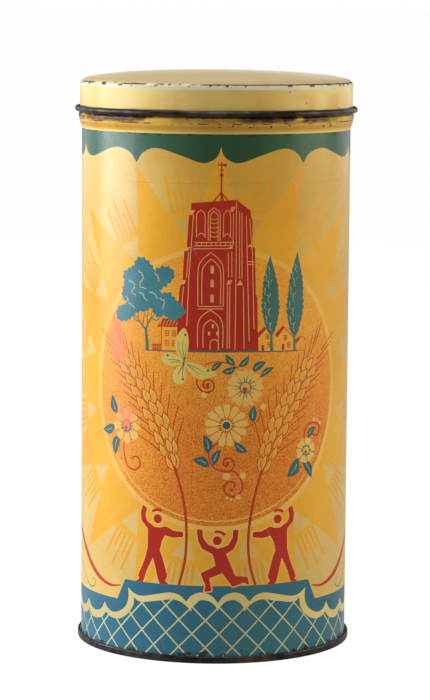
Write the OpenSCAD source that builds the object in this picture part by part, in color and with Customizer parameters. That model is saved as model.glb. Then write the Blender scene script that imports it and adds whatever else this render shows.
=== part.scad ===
// Tall round tin for coffee and other dry goods: a seamed sheet body with a
// rolled bead under its neck, a double-seamed bottom, and a domed lid that
// pulls straight off. Every piece is one thin sheet, drawn as the line down
// the middle of its thickness and turned about the Z axis.

/* [Sheet] */
// Thickness of the tinplate
sheet_t = 0.3; // [0.2:0.02:0.34]
// Clear space between layers that are rolled over each other
seam_gap = 0.2; // [0.15:0.01:0.25]

/* [Body] */
// Outer radius of the straight wall
wall_r = 56; // [45:0.5:70]
// Height of the straight wall, from the ground to the foot of the bead
wall_h = 215.3; // [120:0.1:300]
// How far the lower, gently swelling part of the bead stands out
bead_swell = 1; // [0.7:0.05:1.1]
// Height of the lower part of the bead
bead_swell_h = 3.7; // [3:0.1:5]
// How far the crest of the bead stands out
bead_out = 1.4; // [1.2:0.05:1.6]
// Height from the lower part of the bead to its crest
bead_crest_h = 1.9; // [1.5:0.1:2.5]
// Height from the crest down on to the neck
bead_top_h = 1.6; // [1.5:0.1:2.2]
// How far the neck stands out from the straight wall
neck_out = 0.2; // [0:0.05:0.3]
// Height of the neck above the bead
neck_h = 11.7; // [8:0.1:20]
// Depth of the hem folded inside the mouth
hem_h = 3.4; // [2:0.1:5]

/* [Side seam] */
// Width of the folded seam inside the wall
seam_w = 4; // [3:0.1:6]
// Thickness that the folds add inside the wall
seam_t = 0.6; // [0.4:0.05:0.8]
// Width of the joint line on the outside
seam_line_w = 0.4; // [0.2:0.05:0.6]
// Depth of the joint line on the outside
seam_line_t = 0.12; // [0.05:0.01:0.15]

/* [Bottom] */
// Height of the rolled rim that the tin stands on
rim_h = 3; // [2.8:0.1:4]
// Radius of the folds in the rim, at the middle of the sheet
fold_r = 0.5; // [0.4:0.05:0.5]
// How high the flat of the bottom sits above the ground
bottom_z = 4; // [3.6:0.1:6]
// How much the middle of the bottom is pressed up
bottom_step = 0.8; // [0.4:0.1:1.5]

/* [Lid] */
// Clear space between the neck and the lid's skirt
lid_gap = 0.3; // [0.25:0.05:0.5]
// Height of the skirt, from the middle of the curl to the corner
skirt_h = 10.6; // [8:0.1:18]
// Height from the top of the bead to the middle of the curl
curl_lift = 0.9; // [0.8:0.05:1.5]
// Radius of the curled edge, at the middle of the sheet
curl_r = 1.1; // [0.9:0.05:1.4]
// Radius of the corner between skirt and top
corner_r = 0.85; // [0.6:0.05:1.5]
// Rise of the domed top above its edge
dome_h = 4.48; // [2:0.01:10]

/* [Hidden] */
turn_fn = 120;
half_t = sheet_t / 2;

wall_mid = wall_r - half_t;
neck_mid = wall_mid + neck_out;
layer = sheet_t + seam_gap;

// The rim's layers, from the inside out: the bottom's upright wall, the body
// wall, the bottom's hook, the body's hook and the rim's outer wall.
chuck_mid = wall_mid - layer;
end_hook_mid = wall_mid + layer;
body_hook_mid = wall_mid + 2 * fold_r;
rim_mid = end_hook_mid + 2 * fold_r;

bead_swell_z = wall_h + bead_swell_h;
bead_crest_z = bead_swell_z + bead_crest_h;
neck_z = bead_crest_z + bead_top_h;
hem_r = 0.25;
mouth_z = neck_z + neck_h;
hem_turn_z = mouth_z - half_t - hem_r;

skirt_mid = neck_mid + half_t + lid_gap + half_t;
curl_z = neck_z + curl_lift;
corner_z = curl_z + skirt_h;

// Points on an arc, angles in degrees.
function arc(centre, radius, from, to, steps) =
    [for (i = [0:steps]) let (a = from + (to - from) * i / steps)
        centre + radius * [cos(a), sin(a)]];

// S-shaped flank between two points of different height.
function flank(low, high, steps) =
    [for (i = [0:steps]) let (x = i / steps, s = x * x * (3 - 2 * x))
        [low[0] + (high[0] - low[0]) * s, low[1] + (high[1] - low[1]) * x]];

// Curve that leaves at a slope and levels off to upright at its upper end.
function swelling(low, high, steps) =
    [for (i = [1:steps]) let (x = i / steps)
        [low[0] + (high[0] - low[0]) * sin(90 * x), low[1] + (high[1] - low[1]) * x]];

// The line beside a path at a distance, kept on its own side of the axis.
function beside(path, by) =
    [for (i = [0:len(path) - 1])
        let (
            along = path[min(i + 1, len(path) - 1)] - path[max(i - 1, 0)],
            out = by * [-along[1], along[0]] / norm(along)
        )
        [max(path[i][0] + out[0], 0), path[i][1] + out[1]]];

function backwards(list) = [for (i = [len(list) - 1:-1:0]) list[i]];

// A sheet whose middle follows the path, turned about the axis.
module turned_sheet(path) {
    rotate_extrude($fn = turn_fn)
        polygon(concat(beside(path, half_t), backwards(beside(path, -half_t))));
}

module ring(inner_r, outer_r, low, high) {
    translate([0, 0, low]) difference() {
        cylinder(h = high - low, r = outer_r, $fn = turn_fn);
        translate([0, 0, -1]) cylinder(h = high - low + 2, r = inner_r, $fn = turn_fn);
    }
}

// The body sheet from its hook in the rim, up the wall, over the bead and the
// neck, and folded down inside the mouth.
wall_path = concat(
    [[body_hook_mid, rim_h - 0.8]],
    arc([wall_mid + fold_r, 0.65 + fold_r], fold_r, 0, -180, 12),
    flank([wall_mid, wall_h], [wall_mid + bead_swell, bead_swell_z], 12),
    swelling([wall_mid + bead_swell, bead_swell_z], [wall_mid + bead_out, bead_crest_z], 8),
    backwards(flank([neck_mid, neck_z], [wall_mid + bead_out, bead_crest_z + 0.1], 10)),
    arc([neck_mid - hem_r, hem_turn_z], hem_r, 0, 180, 10),
    [[neck_mid - 2 * hem_r, hem_turn_z - hem_h]]
);

// The folded seam lies inside the wall on its right-hand side, halfway between
// the front and the back of the print, and stays clear of rim and bead.
module seam_folds() {
    low = rim_h + 3;
    high = wall_h - 3;
    intersection() {
        ring(wall_r - sheet_t - seam_t, wall_mid, low, high);
        translate([0, -seam_w / 2, low]) cube([wall_r, seam_w, high - low]);
    }
}

module seam_line() {
    low = rim_h + 0.6;
    translate([0, 0, low]) intersection() {
        ring(wall_r - seam_line_t, wall_r + 1, 0, wall_h - low);
        translate([0, -seam_line_w / 2, -1]) cube([wall_r + 2, seam_line_w, wall_h]);
    }
}

module body_wall() {
    color("goldenrod") difference() {
        union() {
            turned_sheet(wall_path);
            seam_folds();
        }
        seam_line();
    }
}

// The bottom from its hook, over the rim, under the foot, up the inside of the
// wall, and across the pressed panel to the centre.
end_path = let (
    foot_z = half_t + fold_r,
    bend_r = 0.8,
    bend_z = bottom_z - bend_r,
    step_r = chuck_mid - 5
) concat(
    [[end_hook_mid, foot_z + 0.8]],
    arc([end_hook_mid + fold_r, rim_h - half_t - fold_r], fold_r, 180, 0, 12),
    arc([rim_mid - fold_r, foot_z], fold_r, 0, -90, 6),
    arc([chuck_mid + fold_r, foot_z], fold_r, -90, -180, 6),
    arc([chuck_mid - bend_r, bend_z], bend_r, 0, 90, 6),
    [for (i = [0:8]) let (x = i / 8, s = x * x * (3 - 2 * x))
        [step_r - 2.5 * x, bottom_z + bottom_step * s]],
    [[0, bottom_z + bottom_step]]
);

module bottom_end() {
    color("dimgray") turned_sheet(end_path);
}

// The lid from the tip of its curl, round under it, up the skirt, over the
// corner and up the dome to the centre.
lid_path = let (
    edge_r = skirt_mid - corner_r,
    dome_r = edge_r + 0.2
) concat(
    arc([skirt_mid + curl_r, curl_z], curl_r, 510, 180, 24),
    arc([edge_r, corner_z], corner_r, 0, 60, 6),
    [for (a = [6:4:90])
        [dome_r * cos(a), corner_z + corner_r + dome_h * sin(a)]]
);

module lid_cap() {
    color("wheat") turned_sheet(lid_path);
}

body_wall();
bottom_end();
lid_cap();
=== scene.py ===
import math
import random

import bpy
import numpy as np
from mathutils import Matrix, Vector
from mathutils.geometry import delaunay_2d_cdt


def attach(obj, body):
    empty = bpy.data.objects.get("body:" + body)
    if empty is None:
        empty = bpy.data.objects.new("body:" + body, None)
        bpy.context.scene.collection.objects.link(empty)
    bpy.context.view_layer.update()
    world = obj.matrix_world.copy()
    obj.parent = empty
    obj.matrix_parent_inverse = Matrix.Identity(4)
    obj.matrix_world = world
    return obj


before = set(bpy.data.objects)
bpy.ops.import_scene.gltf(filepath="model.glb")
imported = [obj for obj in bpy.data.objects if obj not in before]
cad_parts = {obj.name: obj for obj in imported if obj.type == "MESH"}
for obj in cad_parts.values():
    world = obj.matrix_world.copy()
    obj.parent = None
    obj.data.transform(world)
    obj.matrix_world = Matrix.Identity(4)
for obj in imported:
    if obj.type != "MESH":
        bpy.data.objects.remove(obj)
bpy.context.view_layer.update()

# ---- sizes, in millimetres
MM = 0.001
WALL_R = 56.0
SHEET = 0.3
INK = 0.05

# The print: its radius and edges, how far both pictures sit to the right, the bare
# strip on each side of the seam, and the grid that bends it round the wall.
PRINT_R = WALL_R + INK
PRINT_LOW = 2.4
PRINT_TOP = 215.3
PRINT_TURN = 2.0
SEAM_MARGIN = 1.9
HALF_PANEL = math.pi * WALL_R / 2
COLUMN = HALF_PANEL / 30
ROW = 12.0

# The middle of the lid's sheet: its side, and the corner between side and top.
LID_R = 56.65
CORNER_R = 0.85
CORNER_Z = 234.0

# The disc in the middle of each picture, and the fans of rays round it.
DISC = (-0.8, 112.4)
DISC_R = 58.0
RING_W = 2.2
SCALLOP_R = 53.5
FANS = 16
FAN_R = 61.0

# The camera, fitted to the photograph's view, and where the lamps aim: metres and radians.
CAMERA_PLACE = (0.00013, -1.20477, 0.27)
CAMERA_DOWN = 0.1224
CAMERA_ROLL = 0.0072
LAMP_AIM = (0, 0, 0.12)

# Places on the front of the wall where the print has bled pink.
PINK_SPOTS = ((-39.9, -39.3, 132.5), (-39, -40.2, 126.5), (-36.4, -42.6, 100))


# ---- drawing kit
def spline(points, per=6, closed=False):
    """A smooth curve through the points."""
    p = [np.array(q, float) for q in points]
    if closed:
        p = [p[-1], *p, p[0], p[1]]
    else:
        p = [2 * p[0] - p[1], *p, 2 * p[-1] - p[-2]]
    out = []
    for a, b, c, d in zip(p, p[1:], p[2:], p[3:]):
        for i in range(per):
            t = i / per
            out.append(0.5 * (2 * b + (c - a) * t + (2 * a - 5 * b + 4 * c - d) * t * t
                              + (3 * b - a - 3 * c + d) * t ** 3))
    if not closed:
        out.append(p[-2])
    return [tuple(q) for q in out]


def chained(*curves, per=6):
    """Smooth curves end to end, each starting at the end of the one before it."""
    out = spline(curves[0], per)
    for before, points in zip(curves, curves[1:]):
        out += spline([before[-1], *points], per)[1:]
    return out


def paced(path):
    """A path's length, and a function that gives the point at a distance along it."""
    p = np.array(path)
    reach = np.concatenate([[0], np.cumsum(np.linalg.norm(np.diff(p, axis=0), axis=1))])
    return reach[-1], lambda s: (np.interp(s, reach, p[:, 0]), np.interp(s, reach, p[:, 1]))


def mirrored(points):
    return [(-u, z) for u, z in points]


def whole(points):
    """The whole of a curve from its right half, which starts in the middle."""
    return mirrored(points)[::-1] + points[1:]


def carried(points):
    """A curve that ends at the panel's edge, carried on a little as its own mirror image."""
    return points + [(2 * HALF_PANEL - u, z) for u, z in points[::-1] if 0.1 < HALF_PANEL - u < 7]


def moved(points, du, dz, turn=0.0):
    c, s = math.cos(math.radians(turn)), math.sin(math.radians(turn))
    return [(du + u * c - z * s, dz + u * s + z * c) for u, z in points]


def polar(cu, cz, r, angle):
    """The point at a distance and an angle from a centre."""
    return cu + r * math.cos(angle), cz + r * math.sin(angle)


def arc(cu, cz, r, start, end):
    n = max(2, int(abs(end - start) / 6))
    return [polar(cu, cz, r, math.radians(start + (end - start) * i / n)) for i in range(n + 1)]


def curl(cu, cz, r0, r1, start, turns):
    """A spiral that closes in on its centre."""
    n = max(8, int(abs(turns) * 18))
    return [polar(cu, cz, r0 + (r1 - r0) * i / n, math.radians(start + 360 * turns * i / n))
            for i in range(n + 1)]


def circle(cu, cz, r, n=20):
    return [polar(cu, cz, r, math.tau * i / n) for i in range(n)]


def box(u0, z0, u1, z1):
    return [(u0, z0), (u1, z0), (u1, z1), (u0, z1)]


def unit(vectors):
    return vectors / np.linalg.norm(vectors, axis=1)[:, None]


def stroke(path, width, end_width=None):
    """The outline of a line of changing width drawn along a path."""
    p = np.array(path, float)
    along = unit(np.gradient(p, axis=0))
    across = np.stack([-along[:, 1], along[:, 0]], 1)
    t = np.linspace(0, 1, len(p))
    if callable(width):
        half = np.array([width(x) for x in t]) / 2
    else:
        half = (width + ((width if end_width is None else end_width) - width) * t) / 2
    left, right = p + across * half[:, None], p - across * half[:, None]
    return [*map(tuple, left), *map(tuple, right[::-1])]


def swollen(points, by):
    """A closed outline moved outwards by a distance."""
    p = np.array(points, float)
    ahead, behind = unit(np.roll(p, -1, 0) - p), unit(p - np.roll(p, 1, 0))
    normal = np.stack([(ahead + behind)[:, 1], -(ahead + behind)[:, 0]], 1)
    normal /= np.linalg.norm(normal, axis=1)[:, None] + 1e-9
    corner = np.clip((ahead * np.stack([normal[:, 1] * -1, normal[:, 0]], 1)).sum(1), 0.55, 1)
    area = (p[:, 0] * np.roll(p[:, 1], -1) - np.roll(p[:, 0], -1) * p[:, 1]).sum()
    p = p + normal * (by * (1 if area > 0 else -1) / corner)[:, None]
    return [tuple(q) for q in p]


def leaf_shape(base, tip, width, bend=0.15, n=9, sharp=1.0):
    """A pointed leaf from base to tip, curved to one side: its outline and its midrib."""
    base, tip = np.array(base, float), np.array(tip, float)
    along = tip - base
    across = np.array([-along[1], along[0]]) / np.linalg.norm(along)
    length = np.linalg.norm(along)
    t = np.linspace(0, 1, n)
    middle = base + t[:, None] * along + across * (bend * length * np.sin(math.pi * t))[:, None]
    half = width / 2 * np.maximum(np.sin(math.pi * t ** 0.88), 0) ** sharp
    left, right = middle + across * half[:, None], middle - across * half[:, None]
    return [*map(tuple, left[:-1]), *map(tuple, right[:0:-1])], [*map(tuple, middle)]


class Picture:
    """Outlines in painting order, each with the name of its ink."""

    def __init__(self):
        self.outlines = []

    def fill(self, ink, points):
        self.outlines.append((ink, points))

    def line(self, ink, path, width, end_width=None):
        self.fill(ink, stroke(path, width, end_width))


# ---- the printed picture
# Every motif is drawn in millimetres on the unrolled wall: u to the right from
# the middle of the picture, z up from the ground.
def fan_rays(pic):
    """Pale fans that open outwards round the disc: a small triangle, a gap, then a
    long ray with five gold fingers at its inner end."""
    slope = math.tan(math.radians(28))
    for k in range(FANS):
        angle = math.tau * (k + 0.5) / FANS
        place = (*polar(*DISC, FAN_R, angle), math.degrees(angle) + 3.9 * math.sin(2 * angle))
        for near, far in ((0, 9.6), (12, 64)):
            wedge = [(near, -near * slope), (far, -far * slope), (far, far * slope), (near, near * slope)]
            pic.fill("rays", moved(wedge, *place))
        for i, length in enumerate([14.5, 8.6, 16.7, 9.5, 15]):
            off = 2.4 * (i - 2)
            finger = stroke([(12, off), (12 + length, off * 1.15)], 1.5, 1.1)
            pic.fill("finger", moved(finger, *place))


def disc(pic):
    pic.fill("ring", circle(*DISC, DISC_R, 120))
    pic.fill("disc", circle(*DISC, DISC_R - RING_W, 120))
    scallop = [polar(*DISC, SCALLOP_R + 0.3 * abs(math.sin(a * 45)), a)
               for a in np.radians(np.arange(196, 338, 1))]
    pic.line("light", scallop, lambda t: 0.15 + 0.5 * math.sin(math.pi * t) ** 0.5)


def valance(pic):
    edge = carried(chained(
        [(0, 210.3), (1.1, 206.9), (4, 204.5), (8.2, 203.9), (17, 206.9), (26.5, 209.4), (32.6, 207.6),
         (36, 203.4)],
        [(39.6, 207.4), (47, 209.2), (56, 206.9), (64.5, 204.7), (70.8, 206.2), (73.5, 209.4)],
        [(75.8, 206), (80.5, 204.4), (HALF_PANEL, 205.6)]))
    pic.fill("valance", whole(edge) + [(edge[-1][0], 220), (-edge[-1][0], 220)])


def base_band(pic):
    step = [(41.2, 32), (45.6, 23.3)]
    top = [*step, (100, 23.3)]
    pic.fill("band", [(-100, 0), *mirrored(top)[::-1], *top, (100, 0)])
    pitch = 4 * HALF_PANEL / 32
    for k in range(-9, 10):
        foot = 0.5 + pitch * k
        for lean in (-1, 1):
            for z in (31, 28, 25.5, 23.1):
                end = foot + lean * (z - 12.1) * 0.98
                if abs(end) < 41.2 + (32 - z) * 0.5:
                    break
            pic.line("lattice", [(foot - lean * 9.6, 2.3), (end, z)], 0.6)

    upper = carried(chained(
        [(0, 25), (2.6, 28), (6.8, 29.3), (10.6, 28), (13, 25.3)],
        [(15.6, 27.7), (19.6, 28.7), (25, 27.7), (32, 26.2), (36, 26.6), (39.6, 28.8)],
        [(39.4, 24.4), (41.1, 20.6), (44.8, 18.1), (48.5, 17.3), (51.6, 18.3), (53.8, 20.7)],
        [(56.5, 17.3), (61, 15.9), (65.5, 17), (68.3, 19.6)],
        [(71, 16.9), (75.5, 15.6), (80, 16.7), (82.8, 19)],
        [(84.8, 17), (HALF_PANEL, 16)], per=5))
    lower = carried(chained(
        [(0, 21.8), (1.2, 24), (3.5, 25.7), (6.6, 26.2), (9.2, 24.8), (10.6, 22.9), (10.8, 21.3)],
        [(13.4, 24), (16.5, 25.6), (19.6, 25.9), (25, 24.9), (33, 23.6), (36.6, 25)],
        [(36.8, 21.8), (39.5, 18), (43.5, 15.4), (47.8, 14.7), (51, 15.4), (53, 16.6)],
        [(56, 13.9), (61, 12.6), (65, 13.4), (67.4, 15.4)],
        [(71, 13.1), (75.5, 12.4), (79.5, 13.2), (82, 15.2)],
        [(84.5, 13.4), (HALF_PANEL, 12.8)], per=5))
    far = upper[-1][0]
    pic.fill("band", whole(upper) + [(far, 23.3), *step[::-1], *mirrored(step), (-far, 23.3)])
    pic.fill("ribbon", whole(upper) + whole(lower)[::-1])


def ground_line(pic):
    pic.line("foliage", spline([(-33, 127.5), (-12, 127.9), (10, 127.9), (35.5, 127.3)]),
             lambda t: 0.15 + 0.4 * math.sin(math.pi * t) ** 0.3)
    for u, w in [(-7, 1.6), (0.6, 2.2), (3.4, 1), (12.3, 1.7), (-12.5, 1)]:
        pic.fill("foliage", [(u + w * math.cos(a), 128.1 + 0.55 * max(0, math.sin(a)))
                             for a in np.arange(0, math.tau, 0.4)])


def leafy(points):
    """A closed outline through the points with a ragged, leafy edge."""
    rng = random.Random(4)
    smooth = spline(points, 8, closed=True)
    length, at = paced(smooth + smooth[:1])
    n = 2 * int(length / 1.2 / 2)
    edge = [at(length * i / n) for i in range(n)]
    plump = swollen(edge, 0.8)
    return [plump[i] if i % 2
            else (edge[i][0] + rng.uniform(-0.2, 0.2), edge[i][1] + rng.uniform(-0.2, 0.2))
            for i in range(n)]


def round_tree(pic):
    pic.line("trunk", spline([(-30.4, 127.6), (-30.6, 131), (-31.2, 136.6)]), 1.7, 1.2)
    for path, w in [
            ([(-31.2, 136), (-33.2, 138), (-34.8, 140.6), (-35, 144)], 0.8),
            ([(-31.2, 136), (-29.9, 138.8), (-28.4, 140.9), (-26.4, 143.6)], 0.9),
            ([(-32.6, 137.4), (-32.2, 140.4), (-31.4, 144)], 0.5),
            ([(-33.8, 138.8), (-36.4, 139.8), (-38.2, 142.4)], 0.5),
            ([(-34.6, 140.2), (-36.6, 141.4), (-36.8, 143.4)], 0.4),
            ([(-30.2, 138.2), (-30.6, 141), (-29.8, 145.4)], 0.5),
            ([(-28.6, 140.6), (-26.2, 140), (-23.8, 141.8)], 0.5),
            ([(-29, 140.2), (-28.6, 142.4), (-27.8, 145)], 0.35)]:
        pic.line("trunk", spline(path), w, 0.3)
    pic.fill("tree", leafy([
        (-33.5, 165), (-30, 163.4), (-28.4, 161.4), (-27.8, 159.3), (-25.8, 160.8), (-22.8, 161.8),
        (-20, 160.8), (-19, 158.4), (-21.4, 155), (-25.4, 152.2), (-23.6, 150.6), (-20.8, 151.4),
        (-18.2, 148.4), (-14.4, 144.4), (-16.2, 142), (-19.4, 140.2), (-21.6, 141.8), (-23.8, 142.8),
        (-25, 141.2), (-27, 142.8), (-28.6, 145.2), (-30.2, 145.4), (-31.4, 143.6), (-34, 143.6),
        (-37, 141.8), (-39.8, 139.8), (-42.8, 139), (-45.4, 139), (-46.2, 141.6), (-45, 144),
        (-40.6, 145.6), (-42.6, 148.4), (-43.2, 151.4), (-41.8, 153.6), (-42.4, 158.2), (-39.4, 160),
        (-37, 161.4), (-35.6, 164)]))
    for path in [
            [(-34.8, 159.5), (-33, 158.4), (-32.4, 156.6), (-34, 155), (-33.8, 153.2), (-31.2, 152.6)],
            [(-39.8, 155.3), (-37.4, 154.6), (-36.8, 152.6), (-38.4, 151), (-36, 149.2)],
            [(-34.4, 150.8), (-32.6, 150.2), (-31.8, 148.6), (-30.6, 147.8)],
            [(-29.6, 151.2), (-27.8, 151), (-26.4, 149.8), (-26, 148.4)],
            [(-27.2, 159), (-25.6, 157.6), (-25.4, 155.8)],
            [(-24.8, 148.8), (-22.8, 147.8), (-23.4, 145.8), (-23.6, 144.4)],
            [(-39.8, 146.2), (-38, 145.4), (-36.8, 144.4)], [(-41, 148.6), (-40, 147.2), (-41.2, 146.6)]]:
        wavy = [(u + 0.24 * math.sin(2.6 * i), z + 0.24 * math.cos(2.1 * i))
                for i, (u, z) in enumerate(spline(path, 4))]
        pic.line("frost", wavy, 0.5, 0.35)


def poplar(pic, foot, tip, half):
    """A tall narrow tree with a leafy edge and pale flecks down its left side."""
    pic.line("trunk", [(foot[0] + 0.3, 127.5), (foot[0], foot[1] + 2)], 1.3, 0.9)

    def edge(t, side):
        middle = foot[0] + (tip[0] - foot[0]) * t
        return (middle + side * half * math.sin(math.pi * t ** 0.8) ** 0.75,
                foot[1] + (tip[1] - foot[1]) * t)

    right, left = [], []
    for k in range(13):
        t = 0.02 + 0.073 * k
        reach = 1.08 + 0.07 * math.sin(5 * k)
        right += [edge(t, 0.93), edge(t + 0.062, reach)]
        left += [edge(t + 0.03, -0.93), edge(t + 0.092, -reach)]
    pic.fill("poplar", [foot, *right, (tip[0] + 0.1, tip[1] + 1.2), *left[-3::-1]])
    for i in range(9):
        u, z = edge(0.1 + 0.09 * i, -0.75 if i % 2 else -0.35)
        fleck = [(u - 0.1, z + 2.2), (u + 0.5, z + 1.2), (u + 0.1, z + 0.1), (u + 0.9, z - 1)]
        pic.line("frost", spline(fleck, 3), 0.34, 0.2)
        if i % 2:
            pic.line("frost", [(u + 2.2, z - 1.2), (u + 2.9, z - 0.1)], 0.34, 0.2)


def window(pic, u, z, w, h):
    for x in (u - w / 2, u, u + w / 2):
        pic.line("roof", [(x, z - h / 2), (x, z + h / 2)], 0.26)
    for y in (z - h / 2, z, z + h / 2):
        pic.line("roof", [(u - w / 2, y), (u + w / 2, y)], 0.26)


def houses(pic):
    pic.fill("house", box(-24, 127.9, -17, 138))
    pic.line("roof", [(-24, 128), (-24, 138)], 0.35)
    pic.fill("roof", [(-26.2, 137.4), (-23.4, 140.9), (-17, 141.2), (-16, 137.6)])
    for k in range(6):
        pic.line("house", [(-24.9 + 1.4 * k, 138), (-23.9 + 1.4 * k, 140.3)], 0.22)
    for u in (-21.7, -18.7):
        for z in (135, 131):
            window(pic, u, z, 1.5, 2.1)
    pic.fill("roof", box(-28.4, 127.9, -24, 130.4))
    for k in range(5):
        pic.line("house", [(-28 + 0.95 * k, 128.1), (-28 + 0.95 * k, 130.1)], 0.18)
    pic.line("house", [(-28.2, 129.2), (-24.2, 129.2)], 0.18)
    for walls, ridge in [
            ([(15.5, 128), (15.5, 133.4), (19, 136.8), (21.4, 134.4), (21.4, 128)], [(15.2, 134),
             (18.9, 137.4)]),
            ([(22.8, 128), (22.8, 134), (27, 137.4), (31.8, 133), (31.8, 128)], [(23.6, 133.8),
             (27.2, 137.6)]),
            ([(33.6, 128), (33.6, 131), (36, 132.6), (36.6, 131.6)], [(32.8, 130.8), (35, 132.6)])]:
        pic.fill("house", walls)
        pic.line("roof", ridge, 1.5, 1.3)
    pic.line("roof", [(27, 137.5), (31.8, 133)], 0.3)
    pic.line("roof", spline([(35, 132.8), (36.6, 132.9), (38.8, 131)]), 0.45, 0.25)
    for u, z in [(17.8, 129.2), (26.9, 129.2)]:
        pic.fill("roof", box(u - 0.6, z - 1.2, u + 0.6, z + 1.2))
    for u, z in [(19.8, 133.8), (28, 133), (29.6, 130), (20.6, 130.4)]:
        window(pic, u, z, 1.3, 1.8)


def pointed_arch(u0, u1, foot, spring, peak):
    """A window outline with a pointed top, open at its foot."""
    mid = (u0 + u1) / 2
    rise = peak - spring
    left = spline([(u0, foot), (u0, spring), (u0 + (mid - u0) * 0.3, spring + rise * 0.58), (mid, peak)], 4)
    right = [(2 * mid - u, z) for u, z in left]
    return left + right[-2::-1]


def tower(pic):
    """A plain bell tower in three stages with stepped corners, seen at an angle."""
    pic.line("tower", [(0.2, 188.6), (0.3, 204.4)], 0.7, 0.5)
    pic.fill("tower", circle(0.3, 199, 0.75, 14))
    for z, half in [(201, 1), (194.8, 0.45), (193.4, 0.45), (196.3, 0.45)]:
        pic.line("tower", [(0.3 - half, z), (0.3 + half, z)], 0.42)
    vane = [(-1.4, 202.7), (0.3, 202.9), (2.2, 202.2), (2.2, 203.8), (0.3, 203.2), (-1.2, 203.7)]
    pic.fill("tower", vane)
    for foot in (-3.1, 1.3, 3.4):
        pic.line("tower", [(0.2, 192.2), (foot, 188.2)], 0.52)
    pic.fill("tower", [
        (-17.6, 127.9), (-17.2, 141), (-16.4, 153.5), (-15.2, 155.6), (-14.9, 162), (-14.6, 168.3),
        (-13.5, 170), (-13.1, 177), (-12.7, 183.2), (-11.9, 184.6), (-11.8, 187.8), (6.3, 189.2),
        (12.1, 184.8), (12.2, 183.2), (13, 180.2), (13, 170.2), (14.1, 169.8), (14.6, 151), (15.2, 150),
        (15.6, 136), (16, 127.9)])
    for path in [
            [(-10.9, 183), (-12.6, 158), (-13.4, 138)], [(-12.8, 168), (-13.6, 157.6)],
            [(-14.8, 154), (-15.6, 145)], [(6.3, 188.3), (6.4, 170), (6.2, 128.6)],
            [(5.2, 183.6), (5.1, 171)], [(3, 154.6), (3, 129.2)], [(3.9, 154.6), (3.9, 129.2)],
            [(3.2, 168), (3.3, 158)], [(4.6, 168.4), (4.7, 158)], [(7.6, 184.6), (7.8, 157.4)],
            [(8.6, 184), (8.8, 157.4)], [(9.4, 154.4), (9.9, 129)], [(10.4, 182.8), (11.4, 151), (12, 132)],
            [(11.8, 181.4), (13, 168), (14, 137)], [(11.2, 163.2), (14, 163)], [(11.2, 164.4), (14, 164.1)],
            [(-10.4, 171.9), (5, 172.2)], [(-10.6, 170.6), (5, 170.9)], [(-10.8, 169.4), (4.9, 169.7)],
            [(-8.8, 146.2), (1.3, 146.3)], [(-8.8, 145.2), (1.3, 145.3)]]:
        pic.line("etch", path, 0.34)
    for u in np.arange(-9.4, 4.8, 1.9):
        pic.line("etch", [(u, 170.6), (u, 171.9)], 0.26)
    for u0, u1, foot, spring, peak in [
            (-9.6, -6.2, 174, 182.6, 185), (-4.9, -0.2, 172.8, 182.8, 186), (-4.1, -1, 172.8, 182, 184.6),
            (1.2, 4, 174, 182.4, 185), (-8.9, 1.3, 146.4, 160.5, 168), (-7.3, 0.2, 147.2, 159.5, 165.4),
            (-8.9, 1.2, 129.6, 138.5, 144.8), (-6.7, -0.6, 129.6, 137, 141)]:
        pic.line("etch", pointed_arch(u0, u1, foot, spring, peak), 0.36)
    for z in (174.6, 176.4, 178.2, 180, 181.6):
        pic.line("etch", spline([(-4, z), (-2.6, z - 0.4), (-1.1, z)], 3), 0.3)
    for u, r in (-7.8, 1.1), (2.6, 0.9):
        pic.line("etch", arc(u, 174.6, r, 0, 180), 0.3)
    for z in (149.6, 155.6, 161.2):
        pic.fill("etch", box(-3.9, z - 1.6, -2.5, z + 0.9))
        pic.fill("etch", circle(-3.2, z + 0.9, 0.7, 12))
    for u, z, h in [(-2.8, 138.3, 1.6), (-4.3, 135.3, 1.5), (-1, 135.4, 1.5)]:
        pic.fill("etch", box(u - 0.42, z - h / 2, u + 0.42, z + h / 2))
    door = [(-3.9, 128.6), (-3.9, 131.2), *arc(-2.2, 131.2, 1.7, 180, 0), (-0.5, 128.6)]
    pic.line("etch", door, 0.34)
    for cap in [
            [(-12.7, 182.9), (-11.2, 183.1), (-10.2, 185), (-11.9, 185)],
            [(-14.6, 168.4), (-13, 168.5), (-12.2, 170), (-13.7, 169.9)],
            [(-16.2, 155), (-14.5, 155.1), (-13.7, 156.8), (-15.2, 156.7)],
            [(3.5, 184.3), (5.1, 184.4), (5.9, 186.4), (4.4, 186.4)],
            [(2.4, 155), (4.1, 155.1), (4.9, 157), (3.2, 156.9)], [(6.7, 154.8), (9.3, 154.8), (8.1, 157)],
            [(3, 169.6), (4.9, 169.7), (4.9, 171.2)], [(10.9, 170.3), (13.3, 170.1), (12.2, 171.4)]]:
        pic.fill("etch", cap)


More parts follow.
